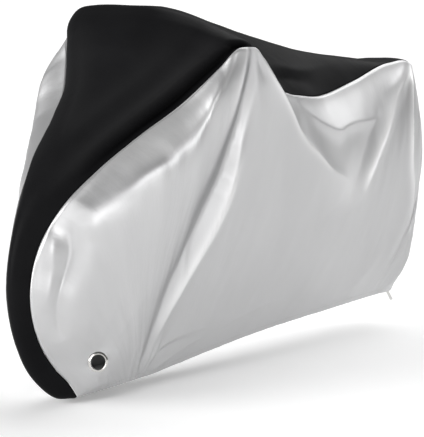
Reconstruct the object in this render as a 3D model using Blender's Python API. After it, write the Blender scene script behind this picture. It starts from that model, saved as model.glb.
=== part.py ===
"""A fitted bicycle cover, as it hangs over a bicycle.

Sizes are in metres. The tables give places in side view: x runs back from the front wheel's
foremost point, y is the distance from the centre plane, z is the height over the ground. The
part's own origin is the hang point, under the cloth at the middle of the handlebar.
"""

from collections import namedtuple
from math import cos, pi, sin

import bmesh
import bpy
import numpy as np
from mathutils import Matrix, Vector

# ---- driving sizes -------------------------------------------------------------------------
HANG_POINT = (0.555, 0.0, 1.108)      # the mount: under the cloth, over the handlebar's middle
CLOTH = 0.0015                        # thickness of the coated cloth
SEAM_GAP = 0.0005                     # between two pieces that are sewn together
CLOTH_CLEARANCE = 0.0004              # between the cloth and an eyelet
AXLE_X, AXLE_Z = 0.340, 0.340         # front axle, which the strip's front end runs round
SEAM_RADIUS = 0.331                   # from the axle to the seams beside the tyre
TYRE_SEAM_Y = 0.046                   # from the centre plane to the seams beside the tyre
SHOULDER_AT, BELLY_AT = 0.14, 0.55    # where a panel's drop has its shoulder and its belly
FOLDS_FROM = 0.13                     # the share of a panel's drop over which its folds begin
SLOPE_STEP = 0.004                    # the share of the seam or the drop over which a slope is taken
EDGE_STEP = 0.02                      # the same across the strip, where w runs from -1 to 1
SEARCH_STEPS = 240                    # of a drop, when the eyelet's place is looked for
SPREAD_STEPS = 2000                   # of the seam, when the columns are spread along it
ON_EDGE = 1e-6                        # the share of a drop or a width that counts as the edge itself
SAME_POINT = 1e-6                     # how near two corners of a turned ring lie that are one
EYELET_WITHIN = 0.41                  # the share of the seam, from the front, where it is looked for
SHARPEST_MITRE = 0.6                  # cosine of half the bend at a seam, at the least
SHARP_EDGE = 0.7                      # radians between faces, over which an edge stays sharp
OVERSHOOT = 1.3                       # most that a drop's curve may run ahead of its shorter stretch

EYELET_AT = (0.205, 0.123)            # centre of the lock eyelets, in side view
EYELET_FACES = (-0.48, 0.87, 0.10)    # the way that they face: outward, and forward
EYELET_HOLE = 0.042
EYELET_FLANGE = 0.059
EYELET_BARREL = 0.048
EYELET_STEPS = 28                     # faces round an eyelet, and round the hole cut for it
CUTTER_DEPTH = 0.04
EYELET_FLAT = (0.050, 0.104)          # the cloth is flat to the first radius, and blends to the second

STRAP_START = (1.672, 0.0425, 0.134)  # of the webbing end, inside the hem by the rear corner
STRAP_END = (1.706, 0.0480, 0.082)
STRAP_WIDTH, STRAP_THICKNESS, STRAP_CURL = 0.014, 0.0014, 0.004
STRAP_COLUMNS, STRAP_ROWS = 6, 2

COLUMNS = 76                          # faces along a seam, the same on both pieces that meet there
PANEL_ROWS, STRIP_ROWS = 18, 10
# Where the columns stand closer, as shares of the seam: the middle of each stretch and its spread.
CLOSER_AT = [(0.07, 0.05), (0.40, 0.08), (0.77, 0.03), (0.97, 0.03)]

# ---- shape of the cover --------------------------------------------------------------------
# A row for each section, from the front hem round the top to the rear hem. crown is the strip's
# middle, box and far_box how square its crown is to the left and to the right (1 a ridge, 2 round,
# 8 boxy), then the left seam, how far the right seam is lifted over it, two places down the panel,
# and where the panel's drop ends along the hem.
Section = namedtuple("Section", "place crown box far_box seam lift shoulder belly hem_x")


def tyre_section(place, angle, crown_radius, shoulder, belly, hem_x):
    """A section where the strip runs round the front tyre; angle is from the ground side, in degrees."""
    dx, dz = -sin(angle * pi / 180), -cos(angle * pi / 180)
    crown = (AXLE_X + crown_radius * dx, AXLE_Z + crown_radius * dz)
    seam = (AXLE_X + SEAM_RADIUS * dx, TYRE_SEAM_Y, AXLE_Z + SEAM_RADIUS * dz)
    return Section(place, crown, 2.0, 2.0, seam, 0.0, shoulder, belly, hem_x)


SECTIONS = [
    Section("front hem", (0.198, 0.004), 2.0, 2.0, (0.184, 0.045, 0.017), 0.0,
            (0.192, 0.048, 0.019), (0.212, 0.053, 0.021), 0.240),
    Section("tyre's foot", (0.150, 0.012), 2.0, 2.0, (0.157, 0.046, 0.056), 0.0,
            (0.172, 0.053, 0.053), (0.202, 0.066, 0.040), 0.262),
    tyre_section("under the tyre", 46, 0.378, (0.130, 0.062, 0.104), (0.205, 0.084, 0.070), 0.285),
    tyre_section("tyre's lower front", 64, 0.370, (0.080, 0.074, 0.180), (0.195, 0.105, 0.117), 0.310),
    tyre_section("tyre's front", 87, 0.364, (0.052, 0.094, 0.305), (0.195, 0.128, 0.187), 0.335),
    Section("tyre's upper front", (0.000, 0.483), 2.0, 2.0, (0.036, 0.055, 0.465), 0.0,
            (0.080, 0.118, 0.430), (0.225, 0.148, 0.238), 0.358),
    Section("mudguard", (0.063, 0.608), 2.2, 2.2, (0.094, 0.087, 0.574), 0.0,
            (0.130, 0.152, 0.530), (0.262, 0.170, 0.278), 0.378),
    Section("fork crown", (0.155, 0.716), 2.4, 2.4, (0.189, 0.132, 0.673), 0.0,
            (0.210, 0.208, 0.625), (0.300, 0.192, 0.322), 0.395),
    Section("head tube", (0.270, 0.820), 2.6, 2.6, (0.306, 0.180, 0.764), 0.0,
            (0.310, 0.274, 0.725), (0.345, 0.213, 0.372), 0.410),
    Section("under the levers", (0.375, 0.925), 2.6, 3.4, (0.419, 0.235, 0.848), 0.0,
            (0.395, 0.320, 0.810), (0.400, 0.235, 0.420), 0.426),
    Section("levers", (0.450, 1.045), 2.0, 6.0, (0.505, 0.305, 0.950), 0.008,
            (0.468, 0.350, 0.900), (0.455, 0.253, 0.465), 0.448),
    Section("grip", (0.540, 1.116), 1.5, 12.0, (0.568, 0.360, 1.024), 0.022,
            (0.558, 0.355, 0.910), (0.515, 0.268, 0.520), 0.480),
    Section("grip's back", (0.620, 1.108), 1.5, 12.0, (0.645, 0.347, 0.978), 0.040,
            (0.640, 0.340, 0.880), (0.600, 0.266, 0.500), 0.550),
    Section("behind the grip", (0.720, 1.084), 1.5, 5.0, (0.735, 0.325, 0.886), 0.030,
            (0.745, 0.310, 0.800), (0.710, 0.258, 0.480), 0.650),
    Section("stem", (0.850, 1.053), 1.5, 2.6, (0.850, 0.276, 0.858), 0.012,
            (0.850, 0.272, 0.765), (0.810, 0.242, 0.460), 0.760),
    Section("top tube", (0.975, 1.020), 1.5, 1.8, (0.990, 0.205, 0.842), 0.0,
            (0.985, 0.246, 0.742), (0.940, 0.226, 0.440), 0.870),
    Section("sag", (1.150, 0.982), 1.4, 1.4, (1.160, 0.150, 0.829), 0.0,
            (1.150, 0.200, 0.730), (1.110, 0.205, 0.430), 1.030),
    Section("saddle nose", (1.370, 0.946), 1.6, 1.6, (1.380, 0.120, 0.866), 0.0,
            (1.370, 0.165, 0.775), (1.310, 0.180, 0.450), 1.210),
    Section("saddle", (1.610, 0.922), 2.0, 2.0, (1.600, 0.095, 0.914), 0.0,
            (1.585, 0.130, 0.840), (1.510, 0.155, 0.490), 1.380),
    Section("carrier's end", (1.785, 0.908), 2.0, 2.0, (1.763, 0.070, 0.901), 0.0,
            (1.720, 0.110, 0.830), (1.620, 0.140, 0.470), 1.480),
    Section("rear shoulder", (1.850, 0.835), 2.0, 2.0, (1.815, 0.055, 0.828), 0.0,
            (1.765, 0.105, 0.760), (1.680, 0.130, 0.420), 1.535),
    Section("rear light", (1.878, 0.660), 2.0, 2.0, (1.858, 0.048, 0.660), 0.0,
            (1.800, 0.100, 0.620), (1.720, 0.110, 0.360), 1.575),
    Section("rear tyre", (1.868, 0.465), 2.0, 2.0, (1.845, 0.045, 0.470), 0.0,
            (1.776, 0.097, 0.420), (1.714, 0.097, 0.280), 1.600),
    Section("rear tyre's foot", (1.825, 0.250), 2.0, 2.0, (1.800, 0.042, 0.260), 0.0,
            (1.752, 0.082, 0.235), (1.705, 0.078, 0.175), 1.620),
    Section("rear hem", (1.720, 0.110), 2.0, 2.0, (1.712, 0.040, 0.118), 0.0,
            (1.698, 0.045, 0.117), (1.670, 0.050, 0.116), 1.638),
]

# How far the right panel's shoulder stands out beyond the left one's, and the way that it does.
FAR_SWELL = {"under the levers": 0.006, "levers": 0.022, "grip": 0.052, "grip's back": 0.040,
             "behind the grip": 0.018}
FAR_SWELL_WAY = (-0.66, 0.75, 0.0)

# The hem, drawn in by its elastic: a row for each place along it.
Hem = namedtuple("Hem", "x y z")
HEM = [
    Hem(0.240, 0.062, 0.024),
    Hem(0.330, 0.079, 0.034),
    Hem(0.400, 0.074, 0.036),
    Hem(0.470, 0.060, 0.034),
    Hem(0.570, 0.058, 0.044),
    Hem(0.700, 0.060, 0.059),
    Hem(0.920, 0.060, 0.082),
    Hem(1.200, 0.058, 0.099),
    Hem(1.480, 0.055, 0.112),
    Hem(1.638, 0.051, 0.117),
]

# A row for each main fold of a panel, in side view: a crest has a positive rise and a valley a
# negative one. Its line runs from start through middle to end; left and right are its half-widths
# on the two sides of that run, and it fades in and out over the two shares of its length.
Fold = namedtuple("Fold", "start middle end rise left right fade_in fade_out")
LEFT_FOLDS = [
    Fold((0.552, 0.985), (0.412, 0.550), (0.408, 0.060), -0.020, 0.036, 0.045, 0.25, 0.10),
    Fold((0.580, 0.860), (0.528, 0.520), (0.415, 0.080), 0.016, 0.045, 0.036, 0.15, 0.10),
    Fold((0.530, 0.970), (0.490, 0.860), (0.450, 0.680), 0.006, 0.040, 0.050, 0.20, 0.40),
    Fold((0.700, 0.925), (0.910, 0.770), (1.320, 0.540), 0.030, 0.045, 0.100, 0.12, 0.40),
    Fold((0.980, 0.790), (1.080, 0.760), (1.190, 0.715), 0.012, 0.070, 0.040, 0.30, 0.20),
    Fold((1.160, 0.720), (1.290, 0.735), (1.420, 0.745), 0.012, 0.070, 0.040, 0.20, 0.40),
    Fold((1.690, 0.870), (1.500, 0.700), (1.260, 0.480), 0.020, 0.060, 0.055, 0.12, 0.30),
    Fold((1.700, 0.850), (1.560, 0.660), (1.400, 0.460), -0.012, 0.050, 0.050, 0.15, 0.30),
    Fold((1.745, 0.880), (1.655, 0.700), (1.620, 0.400), 0.010, 0.045, 0.045, 0.15, 0.40),
]
RIGHT_FOLDS = [
    Fold((0.045, 0.240), (0.190, 0.640), (0.480, 0.980), -0.007, 0.070, 0.110, 0.12, 0.08),
    Fold((0.560, 0.980), (0.455, 0.520), (0.440, 0.060), -0.013, 0.045, 0.045, 0.08, 0.10),
    Fold((0.600, 0.880), (0.545, 0.520), (0.460, 0.090), 0.014, 0.060, 0.045, 0.15, 0.10),
    Fold((0.700, 0.930), (0.900, 0.790), (1.240, 0.520), 0.026, 0.045, 0.100, 0.12, 0.40),
    Fold((1.680, 0.870), (1.520, 0.680), (1.330, 0.440), 0.018, 0.060, 0.060, 0.12, 0.30),
    Fold((1.740, 0.880), (1.640, 0.660), (1.560, 0.380), -0.010, 0.055, 0.050, 0.15, 0.40),
]


def smooth_row(knots, rows, at):
    """Rows of numbers at the knots, read at other places with a smooth curve through them."""
    knots, rows, at = np.asarray(knots, float), np.asarray(rows, float), np.asarray(at, float)
    steps = np.diff(knots)[:, None]
    slopes = np.diff(rows, axis=0) / steps
    tangents = np.empty_like(rows)
    tangents[0], tangents[-1] = slopes[0], slopes[-1]
    tangents[1:-1] = (slopes[:-1] * steps[1:] + slopes[1:] * steps[:-1]) / (steps[1:] + steps[:-1])
    i = np.clip(np.searchsorted(knots, at) - 1, 0, len(knots) - 2)
    h = (knots[i + 1] - knots[i])[:, None]
    u = ((at - knots[i])[:, None]) / h
    return ((1 + 2 * u) * (1 - u) ** 2 * rows[i] + u * (1 - u) ** 2 * h * tangents[i]
            + u * u * (3 - 2 * u) * rows[i + 1] + u * u * (u - 1) * h * tangents[i + 1])


def ease(x):
    x = np.clip(x, 0.0, 1.0)
    return x * x * (3 - 2 * x)


SEAM_POINTS = np.array([section.seam for section in SECTIONS])
SECTION_PLACES = np.concatenate([[0], np.cumsum(np.linalg.norm(np.diff(SEAM_POINTS, axis=0), axis=1))])
SECTION_PLACES /= SECTION_PLACES[-1]


def hem_point(x):
    y, z = smooth_row([row.x for row in HEM], [(row.y, row.z) for row in HEM], [x])[0]
    return x, y, z


LEFT, RIGHT = -1, 1                   # the side of the centre plane, as the sign of y
STRIP_TABLE = [(*s.seam, *s.crown, s.box, s.far_box, s.lift) for s in SECTIONS]


def panel_row(section, side):
    """A section's seam, shoulder, belly and hem points for one panel, on the +y side."""
    far = side == RIGHT
    x, y, z = section.seam
    swell = FAR_SWELL.get(section.place, 0.0) if far else 0.0
    shoulder = [at + swell * way for at, way in zip(section.shoulder, FAR_SWELL_WAY)]
    seam = (x, y, z + (section.lift if far else 0.0))
    return (*seam, *shoulder, *section.belly, *hem_point(section.hem_x))


PANEL_TABLES = {side: [panel_row(section, side) for section in SECTIONS] for side in (LEFT, RIGHT)}


def panel_base(side, s, t):
    """A panel's points without its folds; s runs along the seam, t from the seam to the hem. Both
    panels are worked out on the +y side."""
    columns = smooth_row(SECTION_PLACES, PANEL_TABLES[side], s).reshape(-1, 4, 3)
    stops = np.array([0.0, SHOULDER_AT, BELLY_AT, 1.0])
    steps = np.diff(stops)[None, :, None]
    slopes = np.diff(columns, axis=1) / steps
    tangents = np.empty_like(columns)
    middle = ((slopes[:, :-1] * steps[:, 1:] + slopes[:, 1:] * steps[:, :-1])
              / (steps[:, 1:] + steps[:, :-1]))
    lengths = np.linalg.norm(slopes, axis=2)
    most = OVERSHOOT * np.minimum(lengths[:, :-1], lengths[:, 1:])
    middle *= np.minimum(1, most / np.linalg.norm(middle, axis=2))[..., None]
    tangents[:, 1:-1] = middle
    tangents[:, 0] = 1.5 * slopes[:, 0] - 0.5 * tangents[:, 1]
    tangents[:, -1] = 1.5 * slopes[:, -1] - 0.5 * tangents[:, -2]
    i = np.clip(np.searchsorted(stops, t) - 1, 0, 2)
    k = np.arange(len(t))
    h = np.diff(stops)[i][:, None]
    u = (t - stops[i])[:, None] / h
    return ((1 + 2 * u) * (1 - u) ** 2 * columns[k, i] + u * (1 - u) ** 2 * h * tangents[k, i]
            + u * u * (3 - 2 * u) * columns[k, i + 1] + u * u * (u - 1) * h * tangents[k, i + 1])


def unit(vectors):
    return vectors / np.maximum(np.linalg.norm(vectors, axis=-1, keepdims=True), 1e-12)


def outward(surface, s, t, step=SLOPE_STEP):
    """Unit normals of a surface of s and t, pointing away from the inside of the cover."""
    s0, s1 = np.clip(s - step, 0, 1), np.clip(s + step, 0, 1)
    t0, t1 = np.clip(t - step, 0, 1), np.clip(t + step, 0, 1)
    along = surface(s1, t) - surface(s0, t)
    down = surface(s, t1) - surface(s, t0)
    return unit(np.cross(along, down))


def fold_height(folds, x, z):
    height = np.zeros_like(x)
    for fold in folds:
        start, middle, end = np.array(fold.start), np.array(fold.middle), np.array(fold.end)
        length = np.linalg.norm(end - start)
        run = (end - start) / length
        side = np.array([-run[1], run[0]])
        middle_share, bow = (middle - start) @ run / length, (middle - start) @ side
        share = ((x - start[0]) * run[0] + (z - start[1]) * run[1]) / length
        bend = np.clip(share, 0, 1) * (1 - np.clip(share, 0, 1)) / (middle_share * (1 - middle_share))
        offset = (x - start[0]) * side[0] + (z - start[1]) * side[1] - bow * bend
        width = np.where(offset > 0, fold.left, fold.right)
        fade = ease(share / fold.fade_in) * ease((1 - share) / fold.fade_out)
        height += fold.rise * fade * np.exp(-((offset / width) ** 2))
    return height


def panel_surface(side, folds):
    """A panel's outer face as a function of s and t, on the +y side, and its eyelet's place."""
    def base(s, t):
        return panel_base(side, s, t)

    def surface(s, t):
        points = base(s, t)
        away = outward(base, s, t)
        height = fold_height(folds, points[:, 0], points[:, 2])
        height *= ease(t / FOLDS_FROM)
        return points + away * height[:, None]

    near = np.linspace(0, 1, SEARCH_STEPS + 1)
    s, t = [g.ravel() for g in np.meshgrid(near[near < EYELET_WITHIN], near)]
    points = surface(s, t)
    k = np.argmin(np.hypot(points[:, 0] - EYELET_AT[0], points[:, 2] - EYELET_AT[1]))
    centre = points[k]
    axis = unit(np.array(EYELET_FACES))

    def flattened(s, t):
        points = surface(s, t)
        from_eyelet = points - centre
        height = from_eyelet @ axis
        radius = np.linalg.norm(from_eyelet, axis=1)
        hold = 1 - ease((radius - EYELET_FLAT[0]) / (EYELET_FLAT[1] - EYELET_FLAT[0]))
        return points - (hold * height)[:, None] * axis

    return flattened, centre, axis


def strip_surface(s, w):
    """The strip's outer face; w runs from -1 at the right seam over the crown to 1 at the left one."""
    x, y, z, crown_x, crown_z, box, far_box, lift = smooth_row(SECTION_PLACES, STRIP_TABLE, s).T
    rise = 1 - np.abs(w) ** np.where(w > 0, box, far_box)
    z = z + lift * (w < 0)
    return np.stack([x + (crown_x - x) * rise, -w * y, z + (crown_z - z) * rise], axis=1)


def mesh_object(name, bm, colour, roughness, metallic=0.0):
    mesh = bpy.data.meshes.new(name)
    bm.to_mesh(mesh)
    bm.free()
    mesh.shade_smooth()
    mesh.set_sharp_from_angle(angle=SHARP_EDGE)
    piece = bpy.data.objects.new(name, mesh)
    bpy.context.scene.collection.objects.link(piece)
    material = bpy.data.materials.new(name)
    material.use_nodes = True
    shader = material.node_tree.nodes["Principled BSDF"]
    shader.inputs["Base Color"].default_value = (*colour, 1.0)
    shader.inputs["Roughness"].default_value = roughness
    shader.inputs["Metallic"].default_value = metallic
    mesh.materials.append(material)
    return piece


def column_places():
    even = np.linspace(0, 1, SPREAD_STEPS + 1)
    passed = np.cumsum(1 + sum(np.exp(-(((even - place) / spread) ** 2)) for place, spread in CLOSER_AT))
    passed = (passed - passed[0]) / (passed[-1] - passed[0])
    return np.interp(np.linspace(0, 1, COLUMNS + 1), passed, even)


def cloth_sheet(places, rows, place, thickness=CLOTH):
    """A closed thin sheet; place gives the outer point and the outward direction for s and t."""
    columns = len(places) - 1
    bm = bmesh.new()
    bmesh.ops.create_grid(bm, x_segments=columns, y_segments=rows, size=0.5)
    bm.verts.index_update()
    outer = list(bm.verts)
    s = places[[round((v.co.x + 0.5) * columns) for v in outer]]
    t = np.array([v.co.y + 0.5 for v in outer])
    rim = [(e.verts[0].index, e.verts[1].index) for e in bm.edges if e.is_boundary]
    copied = bmesh.ops.duplicate(bm, geom=bm.verts[:] + bm.edges[:] + bm.faces[:])
    inner = [copied["vert_map"][v] for v in outer]
    points, away = place(s, t)
    for v, w, point, direction in zip(outer, inner, points, away):
        v.co = point
        w.co = point - thickness * direction
    for a, b in rim:
        bm.faces.new((outer[a], outer[b], inner[b], inner[a]))
    bmesh.ops.recalc_face_normals(bm, faces=bm.faces[:])
    return bm


def seam_edge(panel, side, s):
    """Along a seam: the mitre direction that both pieces take, and the way from strip to panel."""
    edge, top = np.zeros_like(s), np.ones_like(s)
    panel_out = outward(panel, s, edge)
    before, after = np.clip(s - SLOPE_STEP, 0, 1), np.clip(s + SLOPE_STEP, 0, 1)
    along = unit(panel(after, edge) - panel(before, edge))
    flip = np.array([1, side, 1])
    rim, within = strip_surface(s, -side * top), strip_surface(s, -side * (top - EDGE_STEP))
    across = unit((rim - within) * flip)
    strip_out = unit(np.cross(along, across))
    mitre = unit(panel_out + strip_out)
    half_angle = np.clip((mitre * panel_out).sum(axis=1), SHARPEST_MITRE, 1.0)
    return mitre / half_angle[:, None], unit(np.cross(mitre, along))


def panel_place(panel, side):
    """Outer points and directions of a panel, in the part's own frame."""
    def place(s, t):
        points, away = panel(s, t), outward(panel, s, t)
        mitre, down = seam_edge(panel, side, s)
        at_seam = (t < ON_EDGE)[:, None]
        points = np.where(at_seam, points + down * SEAM_GAP / 2, points)
        away = np.where(at_seam, mitre, away)
        flip = np.array([1, side, 1])
        return (points * flip) - HANG_POINT, away * flip
    return place


def strip_place(left, right):
    def place(s, t):
        w = np.sin(pi * (t - 0.5))       # its rows stand closer towards the seams
        points = strip_surface(s, w)
        before, after = np.clip(w - EDGE_STEP / 2, -1, 1), np.clip(w + EDGE_STEP / 2, -1, 1)
        s0, s1 = np.clip(s - SLOPE_STEP, 0, 1), np.clip(s + SLOPE_STEP, 0, 1)
        across = strip_surface(s, after) - strip_surface(s, before)
        away = unit(np.cross(across, strip_surface(s1, w) - strip_surface(s0, w)))
        for panel, side, at in ((left, LEFT, t > 1 - ON_EDGE), (right, RIGHT, t < ON_EDGE)):
            mitre, down = seam_edge(panel, side, s)
            flip = np.array([1, side, 1])
            points = np.where(at[:, None], points - down * flip * SEAM_GAP / 2, points)
            away = np.where(at[:, None], mitre * flip, away)
        return points - HANG_POINT, away
    return place


def turned(name, profile, steps, frame, colour, roughness, metallic):
    """A ring turned from a closed (radius, height) profile about the frame's z axis."""
    bm = bmesh.new()
    verts = [bm.verts.new((radius, 0, height)) for radius, height in profile]
    edges = [bm.edges.new((a, b)) for a, b in zip(verts, verts[1:] + verts[:1])]
    bmesh.ops.spin(bm, geom=verts + edges, cent=(0, 0, 0), axis=(0, 0, 1), angle=2 * pi,
                   steps=steps, use_merge=True)
    bmesh.ops.remove_doubles(bm, verts=bm.verts[:], dist=SAME_POINT)
    bmesh.ops.recalc_face_normals(bm, faces=bm.faces[:])
    piece = mesh_object(name, bm, colour, roughness, metallic)
    piece.matrix_world = frame
    return piece


def facing(centre, axis):
    """A frame at a centre with its z axis along the given axis."""
    turn = Vector((0, 0, 1)).rotation_difference(Vector(axis)).to_matrix().to_4x4()
    return Matrix.Translation(Vector(centre)) @ turn


def cut_hole(piece, name, frame, diameter):
    """Cuts a round hole through a piece, square to the frame's z axis."""
    bm = bmesh.new()
    bmesh.ops.create_cone(bm, cap_ends=True, segments=EYELET_STEPS, radius1=diameter / 2,
                          radius2=diameter / 2, depth=CUTTER_DEPTH)
    mesh = bpy.data.meshes.new(name)
    bm.to_mesh(mesh)
    bm.free()
    cutter = bpy.data.objects.new(name, mesh)
    bpy.context.scene.collection.objects.link(cutter)
    cutter.matrix_world = frame
    cutter.hide_render = True
    cutter.display_type = "WIRE"
    cut = piece.modifiers.new("eyelet hole", "BOOLEAN")
    cut.operation = "DIFFERENCE"
    cut.solver = "EXACT"
    cut.object = cutter


def strap_place(s, t):
    """The strap end: s down its length from inside the hem, t across it, both from 0 to 1."""
    start, end = np.array(STRAP_START), np.array(STRAP_END)
    points = start + np.outer(s, end - start)
    points[:, 1] += STRAP_CURL * s * (1 - s)
    points[:, 0] += STRAP_WIDTH * (t - 0.5)
    away = np.tile([0.0, 1.0, 0.0], (len(s), 1))
    flip = np.array([1, LEFT, 1])
    return points * flip - HANG_POINT, away * flip


BLACK_CLOTH = (0.012, 0.012, 0.014)
SILVER_CLOTH = (0.560, 0.560, 0.570)
NICKEL = (0.620, 0.610, 0.590)
WHITE_WEBBING = (0.780, 0.780, 0.760)


def eyelet_profile():
    """Half a section of a two-part eyelet: a domed flange on the cloth, the barrel, a washer behind.
    Each place is a radius and a height over the cloth's outer face."""
    hole, flange, barrel = EYELET_HOLE / 2, EYELET_FLANGE / 2, EYELET_BARREL / 2
    washer, front, back = flange - 0.001, CLOTH_CLEARANCE, -CLOTH - CLOTH_CLEARANCE
    dome = [(hole, 0.0012), (hole + 0.0008, 0.0021), (hole + 0.0026, 0.0026), (hole + 0.0055, 0.0020),
            (flange - 0.0008, 0.0011), (flange, front)]
    curl = [(washer, back), (washer, back - 0.0006), (hole + 0.0030, back - 0.0011),
            (hole + 0.0010, back - 0.0011), (hole, back - 0.0005)]
    return dome + [(barrel, front), (barrel, back)] + curl


def build():
    for old in list(bpy.data.objects):
        bpy.data.objects.remove(old, do_unlink=True)
    places = column_places()
    panels = {}
    for name, side, folds in (("left", LEFT, LEFT_FOLDS), ("right", RIGHT, RIGHT_FOLDS)):
        panel, centre, axis = panel_surface(side, folds)
        panels[name] = panel
        sheet = cloth_sheet(places, PANEL_ROWS, panel_place(panel, side))
        piece = mesh_object(f"side_panel_{name}", sheet, SILVER_CLOTH, 0.38)
        flip = np.array([1, side, 1])
        frame = facing(centre * flip - HANG_POINT, axis * flip)
        cut_hole(piece, f"eyelet_cutter_{name}", frame, EYELET_BARREL + 2 * CLOTH_CLEARANCE)
        turned(f"eyelet_{name}", eyelet_profile(), EYELET_STEPS, frame, NICKEL, 0.22, 1.0)
    strip = cloth_sheet(places, STRIP_ROWS, strip_place(panels["left"], panels["right"]))
    mesh_object("centre_strip", strip, BLACK_CLOTH, 0.5)
    strap = cloth_sheet(np.linspace(0, 1, STRAP_COLUMNS + 1), STRAP_ROWS, strap_place, STRAP_THICKNESS)
    mesh_object("hem_strap_end", strap, WHITE_WEBBING, 0.7)


build()
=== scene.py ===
from collections import namedtuple
from math import pi, radians

import bmesh
import bpy
import numpy as np
from mathutils import Matrix, Vector, noise


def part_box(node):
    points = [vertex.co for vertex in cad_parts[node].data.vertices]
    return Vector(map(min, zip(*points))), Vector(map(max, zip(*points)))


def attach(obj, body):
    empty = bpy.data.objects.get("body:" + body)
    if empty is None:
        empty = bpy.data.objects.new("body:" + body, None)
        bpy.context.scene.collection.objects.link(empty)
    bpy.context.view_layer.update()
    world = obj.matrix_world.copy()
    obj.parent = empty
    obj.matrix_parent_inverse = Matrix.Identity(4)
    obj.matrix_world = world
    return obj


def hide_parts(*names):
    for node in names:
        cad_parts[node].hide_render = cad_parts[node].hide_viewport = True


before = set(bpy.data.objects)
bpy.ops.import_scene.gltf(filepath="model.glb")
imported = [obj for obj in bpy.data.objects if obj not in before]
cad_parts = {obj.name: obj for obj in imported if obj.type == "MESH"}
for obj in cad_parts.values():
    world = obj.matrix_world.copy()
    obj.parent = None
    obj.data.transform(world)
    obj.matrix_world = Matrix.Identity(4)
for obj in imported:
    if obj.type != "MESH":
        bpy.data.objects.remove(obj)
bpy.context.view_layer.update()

# Everything is in metres, apart from what the folds say in millimetres. The tables give places in
# side view: x runs back from the front wheel's foremost point, y is the distance from the centre
# plane and z the height over the ground.
cover = {
    "hangPoint": (0.555, 0.0, 1.108),    # the part's own origin
    "axle": (0.340, 0.340),              # front axle, which the strip's front end runs round
    "seamRadius": 0.331,                 # from the axle to the seams beside the tyre
    "tyreSeamY": 0.046,
    "shoulderAt": 0.14,                  # shares of a panel's drop
    "bellyAt": 0.55,
    "overshoot": 1.3,                    # most that a drop's curve may run ahead of its shorter stretch
    "thickness": 0.0012,
    "seamGap": 0.0006,
}
left, right = -1, 1                      # the sign of y

# The cover's shape. crown is the strip's middle, box and farBox how square it is to the left and to
# the right, seam the left seam and lift how far the right seam is over it. Then come two places down
# the panel, and where the panel's drop ends along the hem.
section = namedtuple("section", "place crown box farBox seam lift shoulder belly hemX")


def tyreSection(place, angle, crownRadius, shoulder, belly, hemX):
    axleX, axleZ = cover["axle"]
    dx, dz = -np.sin(radians(angle)), -np.cos(radians(angle))
    crown = (axleX + crownRadius * dx, axleZ + crownRadius * dz)
    seam = (axleX + cover["seamRadius"] * dx, cover["tyreSeamY"], axleZ + cover["seamRadius"] * dz)
    return section(place, crown, 2.0, 2.0, seam, 0.0, shoulder, belly, hemX)


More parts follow.
